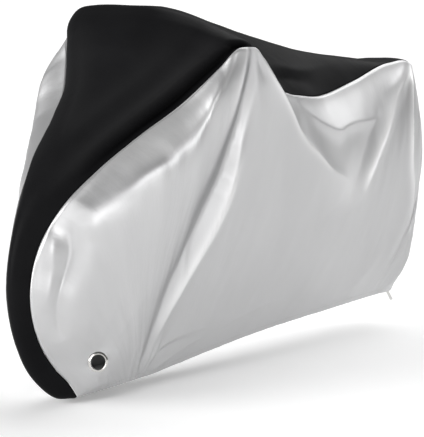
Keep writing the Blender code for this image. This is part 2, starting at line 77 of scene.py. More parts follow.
sections = [
    section("front hem", (0.198, 0.004), 2.0, 2.0, (0.184, 0.045, 0.017), 0.0,
            (0.192, 0.048, 0.019), (0.212, 0.053, 0.021), 0.240),
    section("tyre's foot", (0.150, 0.012), 2.0, 2.0, (0.157, 0.046, 0.056), 0.0,
            (0.172, 0.053, 0.053), (0.202, 0.066, 0.040), 0.262),
    tyreSection("under the tyre", 46, 0.378, (0.130, 0.062, 0.104), (0.205, 0.084, 0.070), 0.285),
    tyreSection("tyre's lower front", 64, 0.370, (0.080, 0.074, 0.180), (0.195, 0.105, 0.117), 0.310),
    tyreSection("tyre's front", 87, 0.364, (0.052, 0.094, 0.305), (0.195, 0.128, 0.187), 0.335),
    section("tyre's upper front", (0.000, 0.483), 2.0, 2.0, (0.036, 0.055, 0.465), 0.0,
            (0.080, 0.118, 0.430), (0.225, 0.148, 0.238), 0.358),
    section("mudguard", (0.063, 0.608), 2.2, 2.2, (0.094, 0.087, 0.574), 0.0,
            (0.130, 0.152, 0.530), (0.262, 0.170, 0.278), 0.378),
    section("fork crown", (0.155, 0.716), 2.4, 2.4, (0.189, 0.132, 0.673), 0.0,
            (0.210, 0.208, 0.625), (0.300, 0.192, 0.322), 0.395),
    section("head tube", (0.270, 0.820), 2.6, 2.6, (0.306, 0.180, 0.764), 0.0,
            (0.310, 0.274, 0.725), (0.345, 0.213, 0.372), 0.410),
    section("under the levers", (0.375, 0.925), 2.6, 3.4, (0.419, 0.235, 0.848), 0.0,
            (0.395, 0.320, 0.810), (0.400, 0.235, 0.420), 0.426),
    section("levers", (0.450, 1.045), 2.0, 6.0, (0.505, 0.305, 0.950), 0.008,
            (0.468, 0.350, 0.900), (0.455, 0.253, 0.465), 0.448),
    section("grip's front", (0.506, 1.098), 1.64, 10.2, (0.545, 0.346, 1.006), 0.016,
            (0.523, 0.356, 0.912), (0.489, 0.264, 0.506), 0.464),
    section("grip", (0.540, 1.116), 1.5, 12.0, (0.571, 0.354, 1.008), 0.030,
            (0.558, 0.355, 0.907), (0.515, 0.268, 0.518), 0.480),
    section("grip's rear", (0.576, 1.117), 1.48, 12.5, (0.598, 0.358, 1.006), 0.036,
            (0.594, 0.350, 0.900), (0.551, 0.268, 0.515), 0.508),
    section("grip's back", (0.620, 1.108), 1.5, 12.0, (0.645, 0.347, 0.978), 0.040,
            (0.640, 0.340, 0.880), (0.600, 0.266, 0.500), 0.550),
    section("behind the grip", (0.720, 1.084), 1.5, 5.0, (0.735, 0.325, 0.886), 0.030,
            (0.745, 0.310, 0.800), (0.710, 0.258, 0.480), 0.650),
    section("stem", (0.850, 1.053), 1.5, 2.6, (0.850, 0.276, 0.858), 0.012,
            (0.850, 0.272, 0.765), (0.810, 0.242, 0.460), 0.760),
    section("top tube", (0.975, 1.020), 1.5, 1.8, (0.990, 0.205, 0.842), 0.0,
            (0.985, 0.246, 0.742), (0.940, 0.226, 0.440), 0.870),
    section("sag", (1.150, 0.982), 1.4, 1.4, (1.160, 0.150, 0.829), 0.0,
            (1.150, 0.200, 0.730), (1.110, 0.205, 0.430), 1.030),
    section("saddle nose", (1.370, 0.946), 1.6, 1.6, (1.380, 0.120, 0.866), 0.0,
            (1.370, 0.165, 0.775), (1.310, 0.180, 0.450), 1.210),
    section("saddle", (1.610, 0.922), 2.0, 2.0, (1.600, 0.095, 0.914), 0.0,
            (1.585, 0.130, 0.840), (1.510, 0.155, 0.490), 1.380),
    section("carrier's end", (1.785, 0.908), 2.0, 2.0, (1.763, 0.070, 0.901), 0.0,
            (1.720, 0.110, 0.830), (1.620, 0.140, 0.470), 1.480),
    section("rear shoulder", (1.850, 0.835), 2.0, 2.0, (1.815, 0.055, 0.828), 0.0,
            (1.765, 0.105, 0.760), (1.680, 0.130, 0.420), 1.535),
    section("rear light", (1.878, 0.660), 2.0, 2.0, (1.858, 0.048, 0.660), 0.0,
            (1.800, 0.100, 0.620), (1.720, 0.110, 0.360), 1.575),
    section("rear tyre", (1.868, 0.465), 2.0, 2.0, (1.845, 0.045, 0.470), 0.0,
            (1.776, 0.097, 0.420), (1.714, 0.097, 0.280), 1.600),
    section("rear tyre's foot", (1.825, 0.250), 2.0, 2.0, (1.800, 0.042, 0.260), 0.0,
            (1.752, 0.082, 0.235), (1.705, 0.078, 0.175), 1.620),
    section("rear hem", (1.720, 0.110), 2.0, 2.0, (1.712, 0.040, 0.118), 0.0,
            (1.698, 0.045, 0.117), (1.670, 0.050, 0.116), 1.638),
]

# How far the right panel's shoulder stands out beyond the left one's, and the way that it does.
farSwell = {"under the levers": 0.006, "levers": 0.022, "grip's front": 0.042, "grip": 0.052,
            "grip's rear": 0.050, "grip's back": 0.040, "behind the grip": 0.018}
farSwellWay = (-0.66, 0.75, 0.0)

# The hem, drawn in by its elastic.
hem = namedtuple("hem", "x y z")
hems = [
    hem(0.240, 0.062, 0.024),
    hem(0.330, 0.079, 0.034),
    hem(0.400, 0.074, 0.036),
    hem(0.470, 0.060, 0.034),
    hem(0.570, 0.058, 0.044),
    hem(0.700, 0.060, 0.059),
    hem(0.920, 0.060, 0.082),
    hem(1.200, 0.058, 0.099),
    hem(1.480, 0.055, 0.112),
    hem(1.638, 0.051, 0.117),
]


def between(u, h, start, startSlope, end, endSlope):
    return ((1 + 2 * u) * (1 - u) ** 2 * start + u * (1 - u) ** 2 * h * startSlope
            + u * u * (3 - 2 * u) * end + u * u * (u - 1) * h * endSlope)


def smoothRow(knots, rows, at):
    knots, rows, at = np.asarray(knots, float), np.asarray(rows, float), np.asarray(at, float)
    steps = np.diff(knots)[:, None]
    slopes = np.diff(rows, axis=0) / steps
    tangents = np.empty_like(rows)
    tangents[0], tangents[-1] = slopes[0], slopes[-1]
    tangents[1:-1] = (slopes[:-1] * steps[1:] + slopes[1:] * steps[:-1]) / (steps[1:] + steps[:-1])
    i = np.clip(np.searchsorted(knots, at) - 1, 0, len(knots) - 2)
    h = (knots[i + 1] - knots[i])[:, None]
    u = ((at - knots[i])[:, None]) / h
    return between(u, h, rows[i], tangents[i], rows[i + 1], tangents[i + 1])


def ease(x):
    x = np.clip(x, 0.0, 1.0)
    return x * x * (3 - 2 * x)


def unit(vectors):
    return vectors / np.maximum(np.linalg.norm(vectors, axis=-1, keepdims=True), 1e-12)


def distances(points, axis):
    steps = np.linalg.norm(np.diff(points, axis=axis), axis=-1)
    start = np.zeros_like(np.take(steps, [0], axis=axis))
    return np.concatenate([start, np.cumsum(steps, axis=axis)], axis=axis)


sectionPlaces = distances(np.array([row.seam for row in sections]), 0)
seamLength = sectionPlaces[-1]
sectionPlaces /= seamLength


def hemPoint(x):
    y, z = smoothRow([row.x for row in hems], [(row.y, row.z) for row in hems], [x])[0]
    return x, y, z


def panelRow(row, side):
    far = side == right
    x, y, z = row.seam
    swell = farSwell.get(row.place, 0.0) if far else 0.0
    shoulder = [at + swell * way for at, way in zip(row.shoulder, farSwellWay)]
    return (x, y, z + (row.lift if far else 0.0), *shoulder, *row.belly, *hemPoint(row.hemX))


def panelBase(side, s, t):
    columns = smoothRow(sectionPlaces, [panelRow(row, side) for row in sections], s).reshape(-1, 4, 3)
    stops = np.array([0.0, cover["shoulderAt"], cover["bellyAt"], 1.0])
    steps = np.diff(stops)[None, :, None]
    slopes = np.diff(columns, axis=1) / steps
    tangents = np.empty_like(columns)
    middle = ((slopes[:, :-1] * steps[:, 1:] + slopes[:, 1:] * steps[:, :-1])
              / (steps[:, 1:] + steps[:, :-1]))
    lengths = np.linalg.norm(slopes, axis=2)
    most = cover["overshoot"] * np.minimum(lengths[:, :-1], lengths[:, 1:])
    middle *= np.minimum(1, most / np.linalg.norm(middle, axis=2))[..., None]
    tangents[:, 1:-1] = middle
    tangents[:, 0] = 1.5 * slopes[:, 0] - 0.5 * tangents[:, 1]
    tangents[:, -1] = 1.5 * slopes[:, -1] - 0.5 * tangents[:, -2]
    i = np.clip(np.searchsorted(stops, t) - 1, 0, 2)
    u = ((t - stops[i]) / np.diff(stops)[i])[None, :, None]
    h = np.diff(stops)[i][None, :, None]
    return between(u, h, columns[:, i], tangents[:, i], columns[:, i + 1], tangents[:, i + 1])


def stripBase(s, w):
    rows = [(*row.seam, *row.crown, row.box, row.farBox, row.lift) for row in sections]
    x, y, z, crownX, crownZ, box, farBox, lift = smoothRow(sectionPlaces, rows, s).T[:, :, None]
    w = w[None, :]
    rise = 1 - np.abs(w) ** np.where(w > 0, box, farBox)
    z = z + lift * (w < 0)
    return np.stack([x + (crownX - x) * rise, -w * y, z + (crownZ - z) * rise], axis=2)


# A fold follows a smooth line through its places, in side view on a panel. edge rounds its crest:
# small is a crisp crease. rise is its height, and before and after are its half-widths on the line's
# front and rear side. These four are in millimetres, after is left out where it is the same as
# before, and one number stands for a whole list. Lines on a panel run down from the seam. Lines on
# the strip run back, as the place along the seam and the distance from it.
track = namedtuple("track", "line edge rise before after")
bell = {
    "steps": 6,                          # straight bits between two places of a line
    "reach": 3,                          # half-widths after which a fold has faded out
    "softer": 0.25,                      # a soft fold's power over the crisp one's
    "softEdge": 0.002,                   # the edge from which a fold is a soft one
}


def mark(line, edge, share, before, after=None):
    before, after = (np.full(len(line), 0.0) + np.array(width) / 1000
                     for width in (before, before if after is None else after))
    return track(np.array(line), edge / 1000, share, before, after)


def fold(line, edge, rise, before, after=None):
    return mark(line, edge, np.array(rise) / 1000, before, after)


leftFolds = [
    # groove under the grip: its deep line, the crest before it and the broad crest behind it
    fold([(0.588, 0.996), (0.595, 0.955), (0.598, 0.912), (0.591, 0.843), (0.577, 0.776), (0.560, 0.719),
          (0.541, 0.650), (0.511, 0.568), (0.485, 0.497), (0.462, 0.430), (0.438, 0.360), (0.422, 0.293),
          (0.414, 0.215), (0.408, 0.138), (0.399, 0.072)],
         2, [-8, -18, -25, -31, -34, -35, -35, -33, -30, -28, -26, -24, -20, -14, -6],
         [14, 24, 36, 46, 53, 56, 57, 56, 53, 50, 46, 40, 32, 22, 10],
         [5, 7, 9, 12, 16, 20, 24, 26, 27, 27, 27, 26, 23, 18, 10]),
    fold([(0.560, 0.994), (0.548, 0.945), (0.533, 0.895), (0.514, 0.828), (0.492, 0.745), (0.463, 0.645),
          (0.435, 0.543)],
         2, [4, 8, 10, 10, 9, 6, 0], [14, 22, 28, 34, 40, 46, 50], [9, 12, 15, 18, 20, 22, 24]),
    fold([(0.596, 0.971), (0.606, 0.913), (0.602, 0.830), (0.594, 0.780), (0.585, 0.717), (0.574, 0.645),
          (0.557, 0.567), (0.532, 0.490), (0.508, 0.434), (0.482, 0.369), (0.454, 0.296), (0.435, 0.227),
          (0.424, 0.159), (0.416, 0.075)],
         1, [0, 0, 1, 4, 11, 17, 21, 22, 21, 20, 18, 15, 11, 4],
         [6, 8, 12, 16, 20, 24, 27, 28, 27, 25, 22, 18, 13, 7],
         [10, 18, 24, 28, 30, 32, 34, 34, 32, 30, 25, 19, 14, 8]),
    # the cloth drops away under the front seam, to a soft valley along it
    fold([(0.185, 0.612), (0.230, 0.648), (0.274, 0.688), (0.347, 0.755), (0.408, 0.823), (0.461, 0.895),
          (0.512, 0.955)],
         6, [0, -4, -7, -8, -7, -4, -1], [60, 90, 110, 110, 90, 50, 24], [18, 20, 22, 22, 20, 16, 10]),
    # short pleat in the middle of the seam's corner, and fine streaks before the groove
    fold([(0.586, 1.012), (0.600, 0.950), (0.622, 0.880), (0.655, 0.790), (0.690, 0.690)],
         2, [4, 7, 6, 4, 0], [7, 14, 24, 34, 40], [6, 10, 16, 26, 34]),
    fold([(0.608, 0.990), (0.632, 0.946), (0.660, 0.895)],
         3, [-3, -6, 0], [8, 12, 14], [10, 16, 20]),
    fold([(0.500, 0.905), (0.491, 0.850), (0.488, 0.779), (0.478, 0.700)],
         2, [0, 3, 3, 0], [6, 8, 9, 10], [6, 7, 8, 9]),
    fold([(0.468, 0.860), (0.462, 0.800), (0.452, 0.735), (0.436, 0.660)],
         3, [0, 2.6, 2.6, 0], [8, 10, 10, 12], [7, 8, 9, 10]),
    # sharp crest from the grip's back, and its crisp edge
    fold([(0.633, 0.977), (0.665, 0.940), (0.701, 0.898), (0.733, 0.862), (0.775, 0.823), (0.832, 0.777),
          (0.889, 0.731), (0.944, 0.688), (1.022, 0.641), (1.110, 0.600), (1.217, 0.563), (1.300, 0.536)],
         1, [4, 13, 22, 29, 33, 34, 33, 31, 26, 20, 12, 0],
         [34, 46, 56, 64, 72, 78, 84, 88, 90, 88, 80, 60],
         [12, 16, 22, 28, 32, 34, 36, 38, 42, 48, 54, 50]),
    fold([(0.650, 0.957), (0.701, 0.898), (0.775, 0.823), (0.832, 0.777), (0.889, 0.731), (0.944, 0.688),
          (1.022, 0.641), (1.110, 0.600)],
         2, [0, 4, 5, 5, 5, 5, 4, 0], 12, 10),
    # the pocket under the dip: a bright flap over a crest like a wide V
    fold([(0.931, 0.826), (0.982, 0.790), (1.030, 0.762), (1.100, 0.735), (1.180, 0.714), (1.232, 0.726),
          (1.300, 0.735), (1.394, 0.738), (1.470, 0.750)],
         1, [5, 12, 17, 21, 24, 20, 16, 10, 0], [14, 16, 18, 19, 20, 20, 22, 24, 24],
         [30, 40, 52, 64, 70, 70, 66, 60, 50]),
    # long folds from the rear top corner
    fold([(1.700, 0.880), (1.620, 0.835), (1.545, 0.765), (1.490, 0.700), (1.425, 0.640), (1.378, 0.581),
          (1.340, 0.521), (1.300, 0.470)],
         1, [3, 8, 13, 17, 20, 20, 15, 0], [18, 28, 38, 46, 50, 48, 42, 32],
         [30, 44, 54, 60, 62, 60, 52, 40]),
    fold([(1.480, 0.790), (1.438, 0.745), (1.398, 0.705), (1.360, 0.655), (1.322, 0.602), (1.290, 0.542),
          (1.262, 0.488)],
         2, [0, -3, -5, -6, -6, -5, 0], [30, 34, 36, 36, 34, 30, 26], [10, 13, 16, 17, 17, 16, 14]),
    fold([(1.705, 0.870), (1.650, 0.800), (1.587, 0.730), (1.500, 0.620), (1.430, 0.505), (1.390, 0.400)],
         6, [-2, -6, -9, -10, -7, 0], [16, 24, 30, 36, 40, 40], [20, 30, 38, 46, 50, 50]),
    fold([(1.755, 0.896), (1.712, 0.850), (1.682, 0.787), (1.668, 0.684), (1.672, 0.584), (1.694, 0.442),
          (1.705, 0.320)],
         0.5, [5, 13, 18, 18, 15, 10, 0], [10, 16, 20, 22, 24, 26, 26], [8, 12, 15, 18, 20, 20, 20]),
    fold([(1.690, 0.895), (1.640, 0.868), (1.570, 0.838), (1.500, 0.812)],
         2, [2, 4, 4, 0], [10, 14, 18, 22]),
    fold([(1.715, 0.872), (1.650, 0.835), (1.580, 0.790), (1.530, 0.740)],
         2, [-2, -4, -4, 0], [8, 12, 16, 20]),
]

# Painted light and shade on the left panel along its folds, as shares: below nought the colour is
# darker (painted shade), and above nought brighter (painted highlight).
leftPaintedLight = [
    # painted shade: a dark band in the groove
    mark([(0.578, 0.996), (0.578, 0.955), (0.576, 0.912), (0.561, 0.843), (0.542, 0.776), (0.523, 0.719),
          (0.503, 0.650), (0.473, 0.568), (0.449, 0.497), (0.428, 0.430), (0.408, 0.360), (0.396, 0.293),
          (0.394, 0.215), (0.394, 0.138), (0.390, 0.072)],
         4, [-0.7, -0.95, -1, -0.95, -0.9, -0.85, -0.8, -0.75, -0.7, -0.65, -0.6, -0.55, -0.5, -0.4,
             -0.2],
         [8, 13, 17, 21, 25, 28, 30, 30, 28, 27, 26, 23, 19, 14, 8],
         [6, 12, 17, 22, 25, 27, 28, 28, 26, 25, 23, 20, 15, 10, 6]),
    # painted shade along the front seam, and a painted highlight on the cloth beside it
    mark([(0.153, 0.580), (0.185, 0.602), (0.225, 0.633), (0.269, 0.669), (0.314, 0.697), (0.345, 0.723),
          (0.387, 0.768), (0.418, 0.822)],
         6, [-0.3, -0.5, -0.6, -0.6, -0.6, -0.6, -0.5, -0.2], 18),
    mark([(0.202, 0.651), (0.242, 0.686), (0.291, 0.726), (0.339, 0.767), (0.387, 0.811), (0.431, 0.866)],
         6, [0.2, 0.5, 0.62, 0.62, 0.55, 0.25], 36),
    # painted highlight in the middle of the pocket
    mark([(1.050, 0.700), (1.130, 0.655), (1.210, 0.600), (1.270, 0.530), (1.290, 0.450)],
         10, [0, 0.22, 0.3, 0.3, 0], [50, 70, 80, 80, 50]),
    # painted highlights on crests behind and before the groove, from the rear top corner and the grip's
    # back
    mark([(0.590, 0.717), (0.576, 0.645), (0.556, 0.567), (0.530, 0.490), (0.506, 0.434), (0.478, 0.369),
          (0.449, 0.296), (0.429, 0.227), (0.418, 0.159)],
         4, [0, 0.32, 0.5, 0.58, 0.58, 0.55, 0.5, 0.35, 0], 10, 11),
    mark([(0.560, 0.994), (0.548, 0.945), (0.533, 0.895), (0.514, 0.828), (0.492, 0.745)],
         4, [0.3, 0.5, 0.5, 0.3, 0], [10, 12, 14, 16, 18], [8, 10, 12, 14, 16]),
    mark([(1.690, 0.875), (1.610, 0.825), (1.535, 0.755), (1.480, 0.690), (1.415, 0.630), (1.368, 0.571),
          (1.330, 0.511)],
         4, [0.3, 0.5, 0.8, 1, 1.1, 1.1, 0], [14, 18, 22, 22, 20, 16, 12], [14, 18, 20, 20, 18, 14, 12]),
    mark([(1.755, 0.896), (1.712, 0.850), (1.682, 0.787), (1.668, 0.684), (1.672, 0.584), (1.694, 0.442),
          (1.705, 0.320)],
         2, [0.8, 1.2, 1.2, 1.1, 0.8, 0.4, 0], [8, 9, 10, 11, 12, 12, 12]),
    mark([(0.640, 0.968), (0.701, 0.898), (0.775, 0.823), (0.832, 0.777), (0.889, 0.731), (0.944, 0.688),
          (1.022, 0.641), (1.110, 0.600)],
         2, [0, 0.5, 0.6, 0.6, 0.5, 0.5, 0.4, 0], 7),
]

rightFolds = [
    fold([(0.045, 0.240), (0.080, 0.400), (0.190, 0.640), (0.330, 0.810), (0.480, 0.980)],
         6, [0, -6, -7, -6, 0], [70, 70, 70, 70, 60], [110, 110, 110, 100, 80]),
    fold([(0.560, 0.985), (0.500, 0.760), (0.455, 0.520), (0.430, 0.300), (0.438, 0.080)],
         5, [-2, -13, -14, -13, -5], [14, 40, 46, 44, 30]),
    fold([(0.600, 0.900), (0.572, 0.720), (0.545, 0.520), (0.510, 0.300), (0.462, 0.095)],
         4, [3, 12, 14, 12, 4], [30, 56, 60, 50, 22], [24, 42, 46, 40, 20]),
    fold([(0.700, 0.940), (0.800, 0.858), (0.900, 0.790), (1.060, 0.680), (1.240, 0.530)],
         4, [3, 22, 26, 18, 0], [30, 45, 50, 60, 60], [30, 70, 90, 100, 90]),
    fold([(1.690, 0.885), (1.600, 0.775), (1.520, 0.680), (1.420, 0.555), (1.330, 0.430)],
         5, [2, 15, 18, 12, 0], [30, 55, 60, 60, 60], [26, 50, 58, 60, 60]),
    fold([(1.745, 0.890), (1.690, 0.775), (1.640, 0.660), (1.595, 0.520), (1.560, 0.370)],
         6, [-2, -9, -10, -7, 0], [30, 50, 55, 55, 50], [30, 46, 50, 50, 50]),
]

# Small creases of the left panel: about the tyre's side, and where the hem draws the cloth together.
leftCreases = [
    # the tyre's edge, and the bright cloth before and behind it
    fold([(0.100, 0.535), (0.094, 0.500), (0.090, 0.459), (0.080, 0.408), (0.066, 0.354), (0.060, 0.302),
          (0.068, 0.251), (0.090, 0.200)],
         1, [-4, -14, -20, -21, -20, -17, -12, 0], [14, 17, 20, 21, 20, 18, 16, 14],
         [16, 20, 24, 30, 34, 40, 36, 30]),
    fold([(0.068, 0.520), (0.062, 0.480), (0.056, 0.430), (0.048, 0.380), (0.040, 0.330), (0.040, 0.280)],
         3, [0, 5, 6, 5, 4, 0], 14, 10),
    fold([(0.062, 0.520), (0.058, 0.480), (0.050, 0.440), (0.044, 0.400)],
         3, [0, 5, 5, 0], [10, 12, 12, 10], [8, 9, 9, 8]),
    fold([(0.108, 0.600), (0.126, 0.575), (0.136, 0.535), (0.136, 0.480)],
         6, [0, 5, 5, 0], [16, 20, 22, 22], [20, 28, 30, 30]),
    fold([(0.105, 0.590), (0.122, 0.560), (0.130, 0.525)],
         2, [0, -4, 0], [6, 8, 10]),
    fold([(0.196, 0.600), (0.224, 0.622), (0.250, 0.655), (0.285, 0.684), (0.320, 0.708)],
         4, [0, 4, 6, 5, 0], [22, 26, 28, 26, 22], [12, 16, 18, 16, 14]),
    # the hem draws the cloth together under the groove
    fold([(0.436, 0.055), (0.450, 0.110), (0.491, 0.135), (0.547, 0.151), (0.616, 0.155), (0.690, 0.156)],
         2, [4, 8, 9, 8, 5, 0], [10, 12, 14, 16, 18, 18], [10, 14, 18, 20, 22, 20]),
    fold([(0.434, 0.045), (0.458, 0.083), (0.490, 0.112), (0.540, 0.130), (0.600, 0.135)],
         2, [-3, -7, -8, -5, 0], [8, 11, 12, 13, 14], [8, 11, 14, 16, 18]),
    fold([(0.470, 0.045), (0.520, 0.075), (0.590, 0.105), (0.680, 0.125)],
         2, [3, 6, 5, 0], [8, 12, 14, 16]),
    fold([(0.424, 0.050), (0.430, 0.095), (0.446, 0.150), (0.470, 0.215)],
         1.5, [4, 5, 4, 0], [5, 6, 7, 9]),
    fold([(0.380, 0.048), (0.374, 0.090), (0.370, 0.140), (0.374, 0.200)],
         1.5, [4, 5, 3, 0], [6, 7, 8, 10], [5, 6, 8, 10]),
    fold([(0.362, 0.045), (0.350, 0.085), (0.342, 0.130), (0.344, 0.180)],
         1.5, [3, 4, 2, 0], [6, 8, 10, 10], [5, 6, 8, 10]),
    # fine pulls about the eyelet
    fold([(0.228, 0.100), (0.244, 0.080), (0.262, 0.055), (0.275, 0.035)],
         1, [0, 3, 3, 1], [4, 5, 6, 6]),
    fold([(0.212, 0.092), (0.222, 0.070), (0.240, 0.045)],
         1, [0, 2, 1], [4, 5, 5]),
    fold([(0.196, 0.158), (0.205, 0.205), (0.226, 0.275), (0.262, 0.350)],
         2, [0, 1.4, 1.2, 0], [10, 12, 14, 16]),
    fold([(0.238, 0.150), (0.262, 0.205), (0.300, 0.275), (0.345, 0.340)],
         2, [0, 1.4, 1.2, 0], [10, 12, 14, 16]),
    fold([(0.165, 0.150), (0.155, 0.205), (0.150, 0.270), (0.160, 0.340)],
         2, [0, 1.4, 1.2, 0], [10, 12, 14, 16]),
    # slack above the hem
    fold([(1.160, 0.125), (1.300, 0.138), (1.428, 0.165), (1.533, 0.245), (1.592, 0.315)],
         4, [0, 4, 5, 5, 0], [30, 34, 36, 36, 34], [24, 28, 30, 30, 30]),
    fold([(0.690, 0.120), (0.800, 0.165), (0.930, 0.190), (1.080, 0.190)],
         4, [0, 5, 5, 0], [24, 28, 30, 30], [20, 24, 26, 26]),
]

# Where a crest is rippled across, with the height of the ripples.
leftRipples = [
    fold([(0.575, 0.740), (0.566, 0.700), (0.556, 0.640), (0.545, 0.590), (0.530, 0.530)],
         4, [0, 1.6, 2.2, 1.6, 0], 16, 14),
    fold([(0.446, 0.290), (0.432, 0.220), (0.424, 0.150), (0.412, 0.080)],
         4, [0, 1, 1.2, 0.6], 12, 14),
    fold([(0.040, 0.500), (0.020, 0.400), (0.013, 0.326), (0.030, 0.224), (0.075, 0.140), (0.150, 0.060)],
         3, [1.2, 1.6, 2, 2, 1.4, 0], 12),
]

# Folds of the strip, each as (place along the seam, distance from the near or the far seam).
stripFolds = [
    fold([(0.205, 0.016), (0.240, 0.020), (0.285, 0.022), (0.325, 0.022), (0.360, 0.020), (0.384, 0.018)],
         3, [0, -8, -12, -13, -11, -4], 12, 14),
    fold([(0.180, 0.050), (0.225, 0.054), (0.270, 0.058), (0.310, 0.060), (0.345, 0.056), (0.372, 0.044)],
         3, [0, 9, 13, 14, 12, 4], 14, 34),
    fold([(0.372, 0.014), (0.383, 0.016), (0.394, 0.020), (0.402, 0.034)],
         3, [-6, -13, -12, 0], 14),
    fold([(0.230, 0.150), (0.270, 0.160), (0.320, 0.150), (0.360, 0.120)],
         8, [0, 6, 6, 0], 30, 50),
    fold([(0.440, 0.060), (0.480, 0.070), (0.530, 0.066), (0.590, 0.052)],
         6, [0, -7, -8, 0], 30),
    fold([(0.470, 0.120), (0.520, 0.112), (0.580, 0.096), (0.640, 0.080)],
         5, [0, 6, 6, 0], 24),
]

# The cloth's small unevenness: waves for each metre along the seam and down from it, and what is
# added to the piece's seed.
waves = {
    "panel": (10, 2.6, 0),
    "panelSmall": (24, 6, 5),
    "strip": (5, 5, 0),
    "stripSmall": (14, 11, 5),
    "seam": (46, 6, 9),
    "hem": (34, 7, 14),
    "dimple": (17, 11, 21),
    "ripple": (24, 85, 30),
}


def foldHeight(folds, places, shape):
    points = places.reshape(-1, 2)
    height = np.zeros(len(points))
    for row in folds:
        knots = distances(row.line, 0)
        facts = np.column_stack([row.line, row.rise, row.before, row.after])
        at = np.linspace(0, knots[-1], bell["steps"] * (len(knots) - 1) + 1)
        path = smoothRow(knots, facts, at)
        reach = bell["reach"] * max(*row.before, *row.after)
        low, high = path[:, :2].min(axis=0) - reach, path[:, :2].max(axis=0) + reach
        near = np.nonzero(((points > low) & (points < high)).all(axis=1))[0]
        spot = points[near]
        start, run = path[:-1, :2], np.diff(path[:, :2], axis=0)
        toward = spot[:, None] - start[None]
        share = np.clip((toward * run).sum(axis=2) / (run ** 2).sum(axis=1), 0, 1)
        apart = toward - share[..., None] * run
        distance = np.linalg.norm(apart, axis=2)
        k = distance.argmin(axis=1)
        each = np.arange(len(near))
        share, distance = share[each, k], distance[each, k]
        behind = run[k, 0] * apart[each, k, 1] - run[k, 1] * apart[each, k, 0] > 0
        rise, before, after = (path[k, 2:] + share[:, None] * (path[k + 1, 2:] - path[k, 2:])).T
        soft = np.sqrt(distance ** 2 + row.edge ** 2) - row.edge
        width = np.where(behind, after, before)
        power = 1 + bell["softer"] * min(1, row.edge / bell["softEdge"])
        height[near] += rise * np.exp(-(soft / width) ** power)
    return height.reshape(shape)


def gridNormals(points):
    along, down = np.gradient(points, axis=0), np.gradient(points, axis=1)
    return unit(np.cross(along, down))


def uneven(along, down, kind, seed):
    alongWaves, downWaves, seedStep = waves[kind]
    spots = zip(along.ravel() * alongWaves, down.ravel() * downWaves)
    heights = [noise.noise(Vector((a, b, seed + seedStep))) for a, b in spots]
    return np.array(heights).reshape(down.shape)


# The cloth sheets.
sheets = {
    "columns": 330,                      # along a seam, the same on the strip and the panels
    "panelRows": 140,
    "stripRows": 110,
    # places where the columns and rows stand closer, as shares, with how far that reaches and how much
    "columnsCloser": [(0.07, 0.04, 1.4), (0.40, 0.05, 1.4), (0.78, 0.03, 1.4)],
    "panelRowsCloser": [(0.0, 0.03, 5.0), (1.0, 0.06, 2.0)],
    "stripRowsCloser": [(0.0, 0.03, 1.0), (1.0, 0.03, 1.0)],
    "samples": 4001,
    "foldFade": 0.007,                   # folds begin this far from a seam
    # the cloth's roll beside a seam: shares of the seam with the roll's height, and its two widths
    "rolls": [(0.0, 0.002), (0.12, 0.002), (0.15, 0.002), (0.19, 0.005), (0.33, 0.005), (0.37, 0.003),
              (0.388, 0.002), (0.46, 0.0015), (0.54, 0.003), (0.70, 0.004), (0.76, 0.003), (1.0, 0.002)],
    "rollWidth": 0.011,
    "rollFall": 0.016,
    "rollPower": 1.4,
    "pinchDepth": 0.0022,                # the seam's own narrow valley
    "pinchWidth": 0.0024,
    # puckers along an edge: their height, and how far and how fast they fade
    "puckers": {"seam": (0.0009, 0.03, 1.5), "hem": (0.0016, 0.035, 1.3)},
    "wobble": 0.0030,
    "panelSmall": 0.45,                  # the small waves' share of the large ones
    "stripSmall": 0.4,
    "panelFade": (0.08, 0.2, 0.30),      # from the seam, then what stays at the hem and from there
    "stripFade": 0.06,
    "dimple": 0.0006,
    "dimpleFade": 0.05,
    "hemGap": 0.0036,
    # the cloth turned in behind the hem, as shares of the gap inward, and how far up
    "hemTurn": [(0.25, -0.0009), (0.65, -0.0012), (0.95, -0.0003), (1.05, 0.0020), (0.9, 0.020)],
    "hemReach": 8,                       # places each way that the hem's direction is taken over
    "seamPaintedHighlight": 0.7,                      # how much brighter a panel is painted at its seam: a painted highlight
    "seamPaintedHighlightWidth": 0.005,
    "stripPaintedLight": 0.012,                   # fold height at which the black cloth's tone changes in full: painted highlight on crests, painted shade in valleys
}
eyelet = {
    "faces": (-0.48, 0.87, 0.10),        # on the right; the left one is its mirror image
    "hole": 0.042,
    "flange": 0.059,
    "barrel": 0.048,
    "flat": (0.031, 0.150),              # the cloth is flat to the first radius, and blends to the second
    "hemFree": 0.050,                    # the hem keeps its own line, this far up
    "steps": 96,
    "play": 0.0003,                      # between the metal and the cloth
    "rimReach": 1.6,                     # edges within this many radii belong to the hole
}


def closerPlaces(count, closer):
    even = np.linspace(0, 1, sheets["samples"])
    passed = np.cumsum(1 + sum(more * np.exp(-(((even - at) / reach) ** 2)) for at, reach, more in closer))
    passed = (passed - passed[0]) / (passed[-1] - passed[0])
    return np.interp(np.linspace(0, 1, count + 1), passed, even)


columnPlaces = closerPlaces(sheets["columns"], sheets["columnsCloser"])
panelRows = closerPlaces(sheets["panelRows"], sheets["panelRowsCloser"])
stripRows = np.sin(pi * (closerPlaces(sheets["stripRows"], sheets["stripRowsCloser"]) - 0.5))


def pinched(height, away, toSeam, mitre):
    near = np.exp(-(toSeam / sheets["pinchWidth"]) ** 2)[..., None]
    return away * height[..., None] - near * sheets["pinchDepth"] * mitre


def rolled(toSeam):
    at, heights = zip(*sheets["rolls"])
    past = np.maximum(toSeam - sheets["rollWidth"], 0) / sheets["rollFall"]
    shape = np.minimum(toSeam / sheets["rollWidth"], 1) * np.exp(-past ** sheets["rollPower"])
    return np.interp(columnPlaces, at, heights)[:, None] * shape


def stripEdge(side):
    points = stripBase(columnPlaces, stripRows)
    away = -gridNormals(points)
    edge = -1 if side == left else 0
    return away[:, edge] * (1, side, 1)


def seamMitre(side):
    base = panelBase(side, columnPlaces, panelRows)
    return unit(gridNormals(base)[:, 0] + stripEdge(side))


